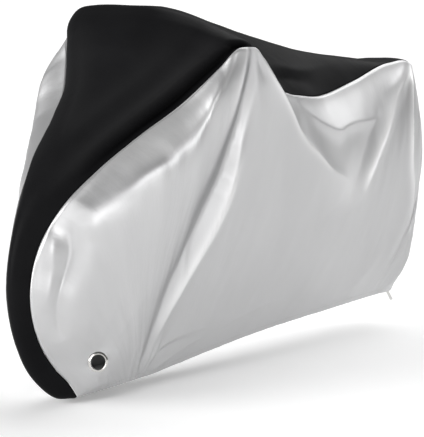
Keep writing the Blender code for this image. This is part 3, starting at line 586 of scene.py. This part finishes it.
def eyeletFrame(side):
    low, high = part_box("eyelet_left" if side == left else "eyelet_right")
    axis = Vector(eyelet["faces"]).normalized()
    axis.y *= side
    return (low + high) / 2, axis


def pucker(edge, along, down, toEdge, seed):
    most, reach, power = sheets["puckers"][edge]
    return most * uneven(along, down, edge, seed) * np.exp(-(toEdge / reach) ** power)


def panelPoints(side, folds, ripples, seed):
    base = panelBase(side, columnPlaces, panelRows)
    away = gridNormals(base)
    down, along = distances(base, 1), distances(base, 0)
    up = down[:, -1:] - down
    height = foldHeight(folds, base[..., [0, 2]], down.shape)
    along = along[:, :1].repeat(down.shape[1], 1)
    small = sheets["panelSmall"] * uneven(along, down, "panelSmall", seed)
    wobble = uneven(along, down, "panel", seed) + small
    fade, hemShare, hemFade = sheets["panelFade"]
    height += sheets["wobble"] * wobble * ease(down / fade) * ease(hemShare + up / hemFade)
    dimple = uneven(along, down, "dimple", seed)
    height += sheets["dimple"] * dimple * ease(down / sheets["dimpleFade"])
    if ripples:
        height += foldHeight(ripples, base[..., [0, 2]], down.shape) * uneven(along, down, "ripple", seed)
    height += pucker("seam", along, down, down, seed)
    height += pucker("hem", along, down, up, seed)
    height *= ease(down / sheets["foldFade"])
    height += rolled(down)
    points = base + pinched(height, away, down, seamMitre(side)[:, None])
    points[:, 0] += unit(base[:, 1] - base[:, 0]) * cover["seamGap"] / 2
    points = points * (1, side, 1) - cover["hangPoint"]
    centre, axis = eyeletFrame(side)
    fromEyelet = points - centre
    heights = fromEyelet @ axis
    radius = np.linalg.norm(fromEyelet, axis=2)
    inner, outer = eyelet["flat"]
    hold = (1 - ease((radius - inner) / (outer - inner))) * ease(up / eyelet["hemFree"])
    hold *= inner / np.maximum(radius, inner)
    return points - (hold * heights)[..., None] * np.array(axis), down


def stripPoints(seed):
    base = stripBase(columnPlaces, stripRows)
    away = -gridNormals(base)
    fromRight = distances(base, 1)
    fromLeft = fromRight[:, -1:] - fromRight
    along = columnPlaces[:, None].repeat(len(stripRows), 1)
    height = sum(foldHeight(stripFolds, np.stack([along, fromSeam], axis=2), along.shape)
                 for fromSeam in (fromLeft, fromRight))
    # painted light on the black cloth: a painted highlight on its crests and painted shade in its valleys
    paintedTone = height / sheets["stripPaintedLight"]
    toSeam = np.minimum(fromLeft, fromRight)
    along = along * seamLength
    small = sheets["stripSmall"] * uneven(along, fromRight, "stripSmall", seed)
    wobble = uneven(along, fromRight, "strip", seed) + small
    height += sheets["wobble"] * wobble * ease(toSeam / sheets["stripFade"])
    height += pucker("seam", along, fromRight, toSeam, seed)
    height *= ease(toSeam / sheets["foldFade"])
    points = base.copy()
    for side, edge, toEdge in ((left, -1, fromLeft), (right, 0, fromRight)):
        mitre = seamMitre(side) * (1, side, 1)
        near = (toEdge == toSeam)
        points += np.where(near[..., None], pinched(height, away, toEdge, mitre[:, None]), 0)
        points[:, edge] += unit(base[:, 1 if edge == 0 else -2] - base[:, edge]) * cover["seamGap"] / 2
    return points - cover["hangPoint"], fromRight, paintedTone


def hemWays(points, away, side):
    into, out = np.zeros_like(points), away.copy()
    if not side:
        into[0], into[-1] = unit(points[1] - points[0]), unit(points[-2] - points[-1])
        return into.reshape(-1, 3), out.reshape(-1, 3)
    columns, rows = points.shape[0] - 1, points.shape[1] - 1
    start, end = [(0, j) for j in range(rows)], [(columns, j) for j in range(rows, -1, -1)]
    i, j = np.array(start + [(i, rows) for i in range(columns)] + end).T
    line, reach = points[i, j], sheets["hemReach"]
    before, after = (np.clip(np.arange(len(line)) + step, 0, len(line) - 1) for step in (-reach, reach))
    along = unit(line[after] - line[before])
    up = unit(np.array([0, 0, 1]) - along * along[:, 2:])
    across = np.cross(along, up)
    into[i, j], out[i, j] = up, across * np.sign(across[:, 1:2] * side)
    return into.reshape(-1, 3), out.reshape(-1, 3)


# Painted light on a panel's colour: the given rows of painted shade and highlight, and a painted highlight
# along the seam.
def panelPaintedLight(side, rows):
    base = panelBase(side, columnPlaces, panelRows)
    paintedTone = foldHeight(rows, base[..., [0, 2]], base.shape[:2])
    return paintedTone + sheets["seamPaintedHighlight"] * np.exp(-(distances(base, 1) / sheets["seamPaintedHighlightWidth"]) ** 2)


def clothMesh(points, away, uvDown, side=0, paintedTone=None):
    columns, rows = points.shape[0] - 1, points.shape[1] - 1
    bm = bmesh.new()
    bmesh.ops.create_grid(bm, x_segments=columns, y_segments=rows, size=0.5)
    frameOf = bm.verts.layers.int.new("frame")
    # a vertex layer of painted light: painted shade below nought, painted highlight above
    paintedLight = bm.verts.layers.float.new("paintedLight")
    uvLayer = bm.loops.layers.uv.new("cloth")
    bm.verts.index_update()
    spots = [(round((v.co.x + 0.5) * columns), round((v.co.y + 0.5) * rows)) for v in bm.verts]
    uAlong = columnPlaces * seamLength
    for v, (i, j) in zip(bm.verts, spots):
        v.co = points[i, j]
        v[frameOf] = i * (rows + 1) + j
        v[paintedLight] = 0.0 if paintedTone is None else paintedTone[i, j]
    for face in bm.faces:
        for loop in face.loops:
            i, j = spots[loop.vert.index]
            loop[uvLayer].uv = (uAlong[i], uvDown[i, j])
    bm.normal_update()
    agree = sum(face.normal.dot(Vector(away[spots[face.verts[0].index]])) for face in bm.faces)
    if agree < 0:
        bmesh.ops.reverse_faces(bm, faces=bm.faces[:])
    flat, (into, out) = points.reshape(-1, 3), hemWays(points, away, side)
    onHem = np.linalg.norm(into, axis=1) > 0.5
    edges = [e for e in bm.edges if e.is_boundary and all(onHem[v[frameOf]] for v in e.verts)]
    for inward, upward in sheets["hemTurn"]:
        made = bmesh.ops.extrude_edge_only(bm, edges=edges)["geom"]
        edges = [e for e in made if isinstance(e, bmesh.types.BMEdge)]
        for v in (v for v in made if isinstance(v, bmesh.types.BMVert)):
            k = v[frameOf]
            v.co = flat[k] - inward * sheets["hemGap"] * out[k] + upward * into[k]
    return bm


def finished(name, bm, material, thickness=0.0):
    mesh = bpy.data.meshes.new(name)
    bm.to_mesh(mesh)
    bm.free()
    mesh.shade_smooth()
    piece = bpy.data.objects.new(name, mesh)
    bpy.context.scene.collection.objects.link(piece)
    mesh.materials.append(material)
    if thickness:
        wall = piece.modifiers.new("thickness", "SOLIDIFY")
        wall.thickness = thickness
        wall.offset = -1
    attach(piece, "root")
    return piece


def cutEyelet(bm, side):
    centre, axis = eyeletFrame(side)
    radius = eyelet["barrel"] / 2 + eyelet["play"]
    inside = {v for v in bm.verts if (v.co - centre).length < radius}
    doomed = [f for f in bm.faces if all(v in inside for v in f.verts)]
    rim = {v for f in doomed for v in f.verts}
    bmesh.ops.delete(bm, geom=doomed, context="FACES")
    for v in bm.verts:
        if v in rim or (v.is_boundary and (v.co - centre).length < eyelet["rimReach"] * radius):
            flatPart = (v.co - centre) - axis * (v.co - centre).dot(axis)
            v.co = centre + flatPart.normalized() * radius


# Materials: a socket is a node's output that can be added and multiplied, and a finish is a material
# with its Principled node.
class socket:
    def __init__(self, tree, out):
        self.tree, self.out = tree, out

    def math(self, operation, other):
        node = self.tree.nodes.new("ShaderNodeMath")
        node.operation = operation
        for slot, value in zip(node.inputs, (self, other)):
            if isinstance(value, socket):
                self.tree.links.new(value.out, slot)
            else:
                slot.default_value = value
        return socket(self.tree, node.outputs[0])

    def __add__(self, other):
        return self.math("ADD", other)

    def __mul__(self, other):
        return self.math("MULTIPLY", other)


class finish:
    def __init__(self, name, **constants):
        self.material = bpy.data.materials.new(name)
        self.material.use_nodes = True
        self.tree = self.material.node_tree
        self.shader = self.tree.nodes["Principled BSDF"]
        for key, value in constants.items():
            self.shader.inputs[key.replace("_", " ")].default_value = value

    def node(self, kind, settings, inputs, out=0):
        node = self.tree.nodes.new(kind)
        for key, value in settings.items():
            setattr(node, key, value)
        for key, value in inputs.items():
            if isinstance(value, socket):
                self.tree.links.new(value.out, node.inputs[key])
            else:
                node.inputs[key].default_value = value
        return socket(self.tree, node.outputs[out])

    def mixed(self, share, one, other):
        return self.node("ShaderNodeMix", {"data_type": "RGBA"}, {0: share, 6: one, 7: other}, 2)

    def grain(self, vector, scale, detail):
        return self.node("ShaderNodeTexNoise", {}, {"Vector": vector, "Scale": scale, "Detail": detail})

    def objectGrain(self, scale, detail):
        return self.grain(self.node("ShaderNodeTexCoord", {}, {}, 3), scale, detail)

    def clothGrain(self, stretch, detail):
        uv = self.node("ShaderNodeUVMap", {"uv_map": "cloth"}, {})
        stretched = self.node("ShaderNodeVectorMath", {"operation": "MULTIPLY"}, {0: uv, 1: stretch})
        return self.grain(stretched, 1.0, detail)

    def set(self, name, value):
        self.tree.links.new(value.out, self.shader.inputs[name])


silver = {
    "colours": [(0.59, 0.59, 0.594, 1), (0.54, 0.54, 0.546, 1)],
    # painted shade and painted highlight colours, mixed in by the vertex layer of painted light
    "paintedShade": (0.31, 0.31, 0.316, 1),
    "paintedHighlight": (0.95, 0.95, 0.95, 1),
    "patches": (7, 3, 1),
    "metallic": 0.75,
    "specular": 0.5,
    "roughness": 0.44,
    "roughnessRange": 0.10,
    "crinkle": 0.13,
}
black = {
    "colours": [(0.006, 0.006, 0.0065, 1), (0.011, 0.011, 0.0118, 1)],
    # painted shade and painted highlight colours, mixed in by the vertex layer of painted light
    "paintedShade": (0.002, 0.002, 0.0022, 1),
    "paintedHighlight": (0.017, 0.017, 0.0176, 1),
    "patches": (9, 6, 1),
    "metallic": 0.0,
    "specular": 0.012,
    "roughness": 0.36,
    "roughnessRange": 0.14,
    "crinkle": 0.12,
}
crinkles = {"long": (60, 14, 1), "small": (150, 110, 1), "smallShare": 0.35, "height": 0.004}
metal = {"colours": [(0.66, 0.65, 0.63, 1), (0.58, 0.57, 0.55, 1)], "scale": 220.0,
         "roughness": 0.10, "roughnessRange": 0.12}
thread = {"grey": (0.30, 0.30, 0.31), "white": (0.80, 0.80, 0.78), "shade": 0.75, "scale": 900.0,
          "roughness": 0.7}


def clothLook(name, cloth):
    look = finish(name, Metallic=cloth["metallic"], Specular_IOR_Level=cloth["specular"])
    patches = look.clothGrain(cloth["patches"], 3.0)
    # painted shade below nought and a painted highlight above it, read from the vertex layer of painted
    # light
    paintedLight = look.node("ShaderNodeAttribute", {"attribute_name": "paintedLight"}, {}, 2)
    paintedShade = look.mixed(paintedLight * -1.0, look.mixed(patches, *cloth["colours"]), cloth["paintedShade"])
    look.set("Base Color", look.mixed(paintedLight, paintedShade, cloth["paintedHighlight"]))
    least = cloth["roughness"] - cloth["roughnessRange"] / 2
    look.set("Roughness", patches * cloth["roughnessRange"] + least)
    long, small = look.clothGrain(crinkles["long"], 3.0), look.clothGrain(crinkles["small"], 2.0)
    height = (long + small * crinkles["smallShare"]) * cloth["crinkle"]
    look.set("Normal", look.node("ShaderNodeBump", {}, {"Strength": 1.0, "Distance": crinkles["height"],
                                                        "Height": height}))
    return look.material


def nickel():
    look = finish("polished nickel", Metallic=1.0)
    rub = look.objectGrain(metal["scale"], 4.0)
    look.set("Base Color", look.mixed(rub, *metal["colours"]))
    look.set("Roughness", rub * metal["roughnessRange"] + metal["roughness"])
    return look.material


def threadLook(name, colour):
    look = finish(name, Roughness=thread["roughness"])
    grain = look.objectGrain(thread["scale"], 2.0)
    dark = (*(part * thread["shade"] for part in colour), 1)
    look.set("Base Color", look.mixed(grain, (*colour, 1), dark))
    return look.material


# The pieces. An eyelet's profile is in places (radius, height over the cloth).
def eyeletProfile():
    hole, flange, barrel = eyelet["hole"] / 2, eyelet["flange"] / 2, eyelet["barrel"] / 2
    front, back = eyelet["play"], -cover["thickness"] - eyelet["play"]
    dome = [(hole, 0.0008), (hole + 0.0002, 0.0014), (hole + 0.0008, 0.0021), (hole + 0.0017, 0.0025),
            (hole + 0.0028, 0.0026), (hole + 0.0042, 0.0024), (hole + 0.0060, 0.0019),
            (flange - 0.0012, 0.0013), (flange - 0.0003, 0.0009), (flange, 0.0005),
            (flange - 0.0002, front)]
    curl = [(flange - 0.001, back), (flange - 0.001, back - 0.0006), (hole + 0.0030, back - 0.0011),
            (hole + 0.0010, back - 0.0011), (hole + 0.0002, back - 0.0007), (hole, back)]
    return dome + [(barrel, front), (barrel, back)] + curl


def eyeletPiece(name, side, material):
    centre, axis = eyeletFrame(side)
    bm = bmesh.new()
    verts = [bm.verts.new((radius, 0, height)) for radius, height in eyeletProfile()]
    edges = [bm.edges.new((a, b)) for a, b in zip(verts, verts[1:] + verts[:1])]
    bmesh.ops.spin(bm, geom=verts + edges, cent=(0, 0, 0), axis=(0, 0, 1), angle=2 * pi,
                   steps=eyelet["steps"], use_merge=True)
    bmesh.ops.remove_doubles(bm, verts=bm.verts[:], dist=1e-6)
    bmesh.ops.recalc_face_normals(bm, faces=bm.faces[:])
    turn = Vector((0, 0, 1)).rotation_difference(axis).to_matrix().to_4x4()
    bmesh.ops.transform(bm, matrix=Matrix.Translation(centre) @ turn, verts=bm.verts[:])
    piece = finished(name, bm, material)
    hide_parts("eyelet_left" if side == left else "eyelet_right")
    return piece


stitch = {"length": 0.0026, "pitch": 0.0038, "thickness": 0.0006, "fromSeam": 0.0055, "fromHem": 0.018,
          "leastDrop": 0.09, "endGap": 0.012, "lookAhead": 0.0005}


def lineAt(points, away, across, distance):
    line, normals = [], []
    for i in range(len(points)):
        j = min(np.searchsorted(across[i], distance), across.shape[1] - 1)
        share = (distance - across[i, j - 1]) / max(across[i, j] - across[i, j - 1], 1e-9)
        share = min(max(share, 0.0), 1.0)
        line.append(points[i, j - 1] + share * (points[i, j] - points[i, j - 1]))
        normals.append(away[i, j])
    return np.array(line), np.array(normals)


def stitchRow(name, line, normals, material):
    knots = distances(line, 0)
    at = np.arange(stitch["endGap"], knots[-1] - stitch["endGap"], stitch["pitch"])
    spots = smoothRow(knots, line, at)
    ways = unit(smoothRow(knots, line, at + stitch["lookAhead"]) - spots)
    outs = unit(smoothRow(knots, normals, at))
    bm = bmesh.new()
    size = Matrix.Diagonal((stitch["thickness"] / 2, stitch["thickness"] / 2, stitch["length"] / 2, 1))
    for spot, way, out in zip(spots, ways, outs):
        turn = Matrix((np.cross(out, way), out, way)).transposed().to_4x4()
        place = Matrix.Translation(Vector(spot)) @ turn @ size
        bmesh.ops.create_icosphere(bm, subdivisions=1, radius=1.0, matrix=place)
    piece = finished(name, bm, material)
    return piece


def outerNormals(points, side):
    away = gridNormals(points)
    return away if (away[len(away) // 2, away.shape[1] // 2, 1] * side > 0) else -away


def panelPiece(name, side, folds, ripples, paintedLight, seed):
    points, down = panelPoints(side, folds, ripples, seed)
    away = outerNormals(points, side)
    bm = clothMesh(points, away, down, side, panelPaintedLight(side, paintedLight))
    cutEyelet(bm, side)
    piece = finished(name, bm, silverLook, cover["thickness"])
    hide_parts(name.replace("cloth", "panel"))
    down = distances(points, 1)
    up = down[:, -1:] - down
    seamLine, seamAway = lineAt(points, away, down, stitch["fromSeam"])
    deep = up[:, 0] > stitch["leastDrop"]
    fromHem = [grid[deep][:, ::-1] for grid in (points, away, up)]
    hemLine, hemAway = lineAt(*fromHem, stitch["fromHem"])
    rows = [stitchRow(f"{name}_seam_stitches", seamLine, seamAway, greyThread),
            stitchRow(f"{name}_hem_stitches", hemLine, hemAway, greyThread)]
    ring = eyeletPiece(f"{name}_eyelet", side, nickelLook)


strap = {"start": (1.672, 0.0425, 0.134), "end": (1.706, 0.0480, 0.082), "width": 0.014, "length": 0.062,
         "thickness": 0.0014, "curl": 0.004, "twist": 0.0015, "columns": 10, "rows": 24}


def strapPiece(material):
    bm = bmesh.new()
    bmesh.ops.create_grid(bm, x_segments=strap["columns"], y_segments=strap["rows"], size=0.5)
    uvLayer = bm.loops.layers.uv.new("cloth")
    start, end = Vector(strap["start"]), Vector(strap["end"])
    for v in bm.verts:
        across, share = v.co.x, v.co.y + 0.5
        place = start.lerp(end, share)
        place.y += strap["curl"] * share * (1 - share) + strap["twist"] * across * share
        place.x += strap["width"] * across
        place.y *= left
        v.co = place - Vector(cover["hangPoint"])
    for face in bm.faces:
        for loop in face.loops:
            loop[uvLayer].uv = (loop.vert.co.x, loop.vert.co.z)
    bm.normal_update()
    if sum(face.normal.y for face in bm.faces) > 0:
        bmesh.ops.reverse_faces(bm, faces=bm.faces[:])
    piece = finished("strap_end", bm, material, strap["thickness"])
    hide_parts("hem_strap_end")


seeds = {"left": 3.1, "right": 41.7, "strip": 77.3}
silverLook, blackLook = clothLook("silver cloth", silver), clothLook("black cloth", black)
nickelLook = nickel()
greyThread = threadLook("grey thread", thread["grey"])
webbing = threadLook("white webbing", thread["white"])

print("left panel")
panelPiece("side_cloth_left", left, leftFolds + leftCreases, leftRipples, leftPaintedLight, seeds["left"])
print("right panel")
panelPiece("side_cloth_right", right, rightFolds, [], [], seeds["right"])
print("centre strip")
stripGrid, stripDown, stripPaintedTone = stripPoints(seeds["strip"])
stripMesh = clothMesh(stripGrid, -gridNormals(stripGrid), stripDown, paintedTone=stripPaintedTone)
strip = finished("centre_cloth", stripMesh, blackLook, cover["thickness"])
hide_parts("centre_strip")
print("strap end")
strapPiece(webbing)

# Floor, light and camera. A sun has its strength, width and direction.
studio = {
    "floorSize": 120.0,
    "floorColour": (0.95, 0.95, 0.95, 1),
    "floorRoughness": 0.9,
    "floorGlow": 0.24,
    "white": (1, 1, 1, 1),
    "sky": 0.13,
    "suns": [("front sun", 0.36, radians(20), (1.0, 0.5, -0.24)),
             ("side sun", 0.85, radians(18), (0.52, 0.84, -0.22)),
             ("rear sun", 0.3, radians(30), (-0.83, 0.38, -0.41)),
             ("far sun", 3.2, radians(40), (0.8, -0.55, -0.25)),
             ("back sun", 1.7, radians(60), (-0.61, -0.1, -0.71))],
    "camera": (-3.713, -3.528, 0.109),
    "turn": radians(48.4),
    "tilt": radians(8.12),
    "lens": 142.65,
    "sensor": 36,
}


def makeStudio():
    bm = bmesh.new()
    bmesh.ops.create_grid(bm, x_segments=1, y_segments=1, size=studio["floorSize"])
    bmesh.ops.translate(bm, vec=(0, 0, -cover["hangPoint"][2]), verts=bm.verts[:])
    mesh = bpy.data.meshes.new("floor")
    bm.to_mesh(mesh)
    bm.free()
    floor = bpy.data.objects.new("floor", mesh)
    bpy.context.scene.collection.objects.link(floor)
    look = finish("floor", Base_Color=studio["floorColour"], Roughness=studio["floorRoughness"],
                  Emission_Color=studio["white"], Emission_Strength=studio["floorGlow"])
    mesh.materials.append(look.material)
    world = bpy.data.worlds.new("studio")
    bpy.context.scene.world = world
    world.use_nodes = True
    background = world.node_tree.nodes["Background"].inputs
    background[0].default_value, background[1].default_value = studio["white"], studio["sky"]
    for name, strength, width, way in studio["suns"]:
        light = bpy.data.lights.new(name, "SUN")
        light.energy, light.angle = strength, width
        sun = bpy.data.objects.new(name, light)
        sun.rotation_euler = Vector(way).to_track_quat("-Z", "Y").to_euler()
        bpy.context.scene.collection.objects.link(sun)
    lens = bpy.data.cameras.new("camera")
    lens.lens, lens.sensor_width = studio["lens"], studio["sensor"]
    camera = bpy.data.objects.new("camera", lens)
    turn, tilt = studio["turn"], studio["tilt"]
    forward = Vector((np.sin(turn) * np.cos(tilt), np.cos(turn) * np.cos(tilt), -np.sin(tilt)))
    camera.location = studio["camera"]
    camera.rotation_euler = forward.to_track_quat("-Z", "Y").to_euler()
    bpy.context.scene.collection.objects.link(camera)
    bpy.context.scene.camera = camera
    bpy.context.scene.view_settings.view_transform = "Standard"


print("studio")
makeStudio()
